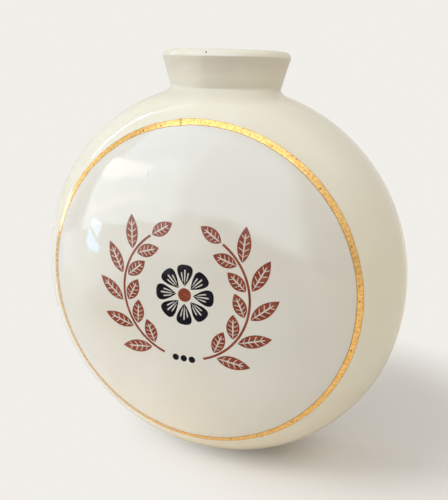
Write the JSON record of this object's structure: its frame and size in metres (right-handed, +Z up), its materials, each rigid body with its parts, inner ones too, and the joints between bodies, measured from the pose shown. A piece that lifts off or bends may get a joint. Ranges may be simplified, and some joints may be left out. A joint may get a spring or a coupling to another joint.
{
  "type": "wall vase",
  "caption": "Round flat-backed ceramic wall vase with a domed front, a short oval flared neck, a gilt band and a small enamel garland.",
  "frame": {"origin": "centre of the flat back face, on the axis of the round body", "axes": "+Y out of the flat back into the wall, +Z up through the neck, +X to the right as seen from the front"},
  "size_m": [0.15, 0.0543, 0.162],
  "materials": {
    "glaze": "glossy ivory glaze over cast clay",
    "gilding": "fired bright gold, hand banded",
    "rust_enamel": "rust-brown enamel print, semi-gloss",
    "navy_enamel": "navy-black enamel print, semi-gloss"
  },
  "bodies": {
    "root": {"back_plate": "glaze", "berry_left": "navy_enamel", "berry_middle": "navy_enamel", "berry_right": "navy_enamel", "body_shell": "glaze", "gold_band": "gilding", "inner_leaf_1_left": "rust_enamel", "inner_leaf_1_right": "rust_enamel", "inner_leaf_2_left": "rust_enamel", "inner_leaf_2_right": "rust_enamel", "inner_leaf_3_left": "rust_enamel", "inner_leaf_3_right": "rust_enamel", "inner_leaf_4_left": "rust_enamel", "inner_leaf_4_right": "rust_enamel", "inner_leaf_5_left": "rust_enamel", "inner_leaf_5_right": "rust_enamel", "neck": "glaze", "outer_leaf_1_left": "rust_enamel", "outer_leaf_1_right": "rust_enamel", "outer_leaf_2_left": "rust_enamel", "outer_leaf_2_right": "rust_enamel", "outer_leaf_3_left": "rust_enamel", "outer_leaf_3_right": "rust_enamel", "outer_leaf_4_left": "rust_enamel", "outer_leaf_4_right": "rust_enamel", "outer_leaf_5_left": "rust_enamel", "outer_leaf_5_right": "rust_enamel", "rosette_eye": "rust_enamel", "rosette_petal_1": "navy_enamel", "rosette_petal_2": "navy_enamel", "rosette_petal_3": "navy_enamel", "rosette_petal_4": "navy_enamel", "rosette_petal_5": "navy_enamel", "rosette_petal_6": "navy_enamel", "rosette_petal_7": "navy_enamel", "rosette_petal_8": "navy_enamel", "stem_left": "rust_enamel", "stem_right": "rust_enamel", "tip_leaf_left": "rust_enamel", "tip_leaf_right": "rust_enamel"}
  },
  "joints": []
}
